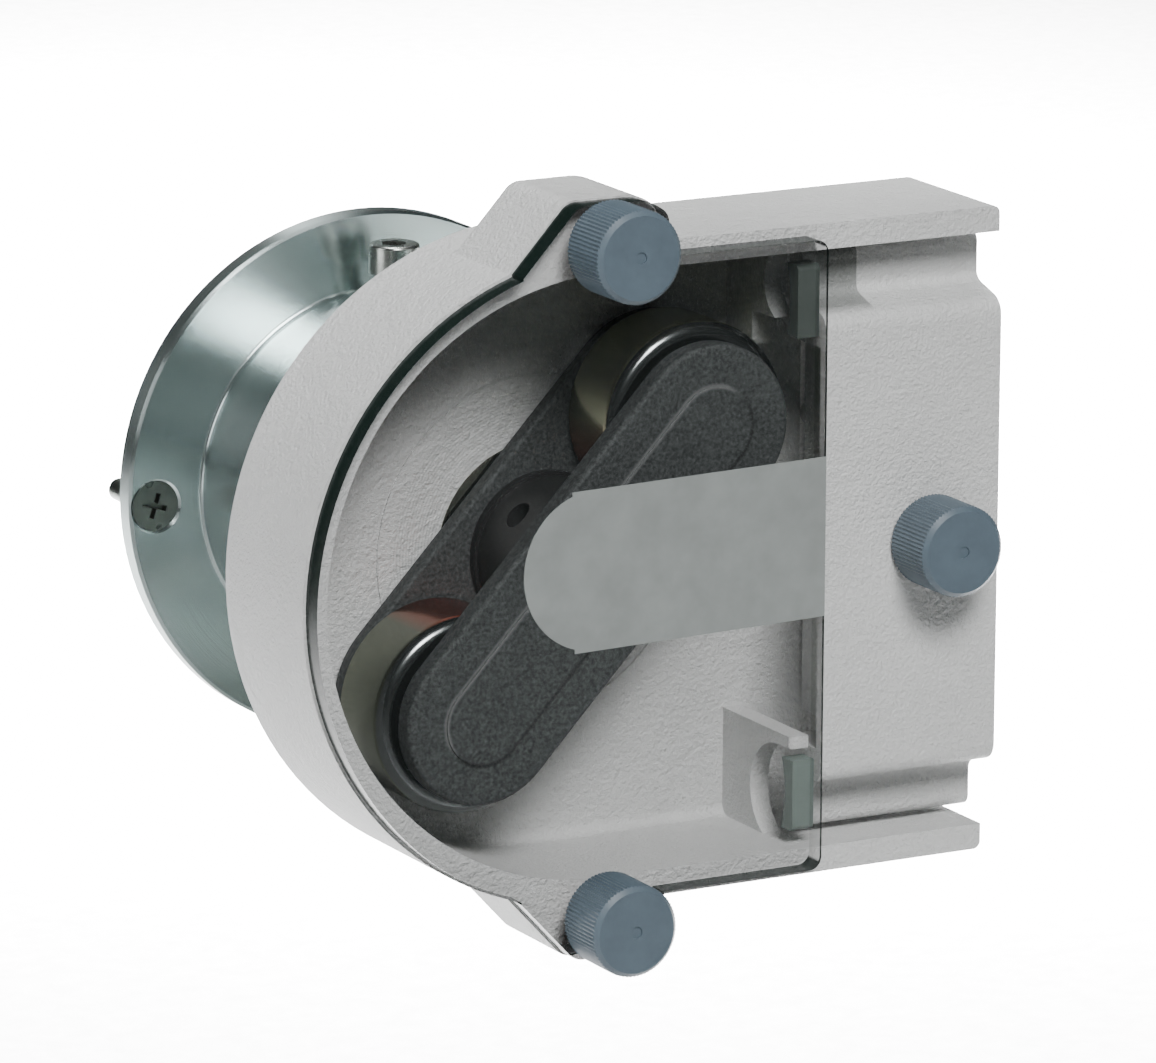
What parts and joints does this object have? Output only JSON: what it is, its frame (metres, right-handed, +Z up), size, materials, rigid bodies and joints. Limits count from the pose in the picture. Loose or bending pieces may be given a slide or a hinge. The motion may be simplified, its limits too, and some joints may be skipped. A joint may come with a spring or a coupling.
{
  "type": "peristaltic pump head",
  "caption": "Roller pump head: grey cast housing with clear cover, tilted two-roller rotor, knurled knobs, sliding tube clamp block and turned drive flange.",
  "frame": {"origin": "centre of the drive socket mouth on the rear face of the adapter flange", "axes": "+Y along the pump axis towards the drive, the front faces -Y, +Z up, the clamp block on the +X side"},
  "size_m": [0.1273, 0.112, 0.1256],
  "materials": {
    "painted_grey": "fine orange-peel paint",
    "turned_aluminium": "turned",
    "screw_steel": "plated",
    "ground_steel": "ground",
    "bright_steel": "polished",
    "black_steel": "blackened",
    "anthracite": "fine sandy texture",
    "black_hub": "satin",
    "bronze": "sintered",
    "clear_acrylic": "clear",
    "label_grey": "matt print",
    "knob_plastic": "matt",
    "jaw_grey": "satin",
    "nylon": "matt"
  },
  "bodies": {
    "base": {"housing": "painted_grey", "adapter": "turned_aluminium", "flange_screws": "screw_steel", "clamp_screw": "screw_steel", "adapter_bolts": "screw_steel", "guide_pins": "ground_steel", "bearing_outer_rings": "ground_steel", "bearing_balls": "ground_steel", "bearing_spacer": "turned_aluminium", "shaft_seal": "bright_steel"},
    "rotor": {"drive_shaft": "ground_steel", "shaft_clip": "black_steel", "bearing_inner_rings": "ground_steel", "drive_coupling": "ground_steel", "coupling_set_screw": "black_steel", "rotor_front_plate": "anthracite", "rotor_rear_plate": "anthracite", "rotor_hub": "black_hub", "rotor_set_screw": "black_steel", "rotor_centre_screw": "screw_steel", "roller_axles": "ground_steel"},
    "upper_roller": {"roller_upper": "bright_steel", "roller_bushes_upper": "bronze"},
    "lower_roller": {"roller_lower": "bright_steel", "roller_bushes_lower": "bronze"},
    "cover": {"cover": "clear_acrylic", "cover_label": "label_grey", "cover_washers": "nylon"},
    "top_knob": {"top_knob": "knob_plastic", "top_knob_stud": "screw_steel"},
    "bottom_knob": {"bottom_knob": "knob_plastic", "bottom_knob_stud": "screw_steel"},
    "block": {"clamp_block": "painted_grey", "jaw_upper": "jaw_grey", "jaw_lower": "jaw_grey", "jaw_pins": "ground_steel", "block_washer": "nylon"},
    "block_knob": {"block_knob": "knob_plastic", "block_knob_stud": "screw_steel", "block_clip": "black_steel"}
  },
  "joints": [
    {"name": "rotor_spin", "type": "hinge", "parent": "base", "child": "rotor", "pos_m": [0, -0.0741, 0], "axis": [0, 1, 0], "continuous": true},
    {"name": "upper_roller_spin", "type": "hinge", "parent": "rotor", "child": "upper_roller", "pos_m": [0.02082, -0.0731, 0.02201], "axis": [0, 1, 0], "continuous": true},
    {"name": "lower_roller_spin", "type": "hinge", "parent": "rotor", "child": "lower_roller", "pos_m": [-0.02082, -0.0731, -0.02201], "axis": [0, 1, 0], "continuous": true},
    {"name": "cover_lift", "type": "slide", "parent": "base", "child": "cover", "axis": [0, -1, 0], "range_m": [0, 0.04]},
    {"name": "top_knob_turn", "type": "hinge", "parent": "cover", "child": "top_knob", "pos_m": [-0.002, -0.0951, 0.0552], "axis": [0, -1, 0], "range_deg": [0, 5040]},
    {"name": "bottom_knob_turn", "type": "hinge", "parent": "cover", "child": "bottom_knob", "pos_m": [-0.002, -0.0951, -0.0552], "axis": [0, -1, 0], "range_deg": [0, 5040]},
    {"name": "block_slide", "type": "slide", "parent": "base", "child": "block", "axis": [0, -1, 0], "range_m": [0, 0.0012]},
    {"name": "block_knob_turn", "type": "hinge", "parent": "block", "child": "block_knob", "pos_m": [0.06, -0.0931, 0], "axis": [0, -1, 0], "range_deg": [0, 432]}
  ],
  "couplings": [
    {"joint": "block_knob_turn", "follows": "block_slide", "rad_per_m": 6283.2}
  ]
}
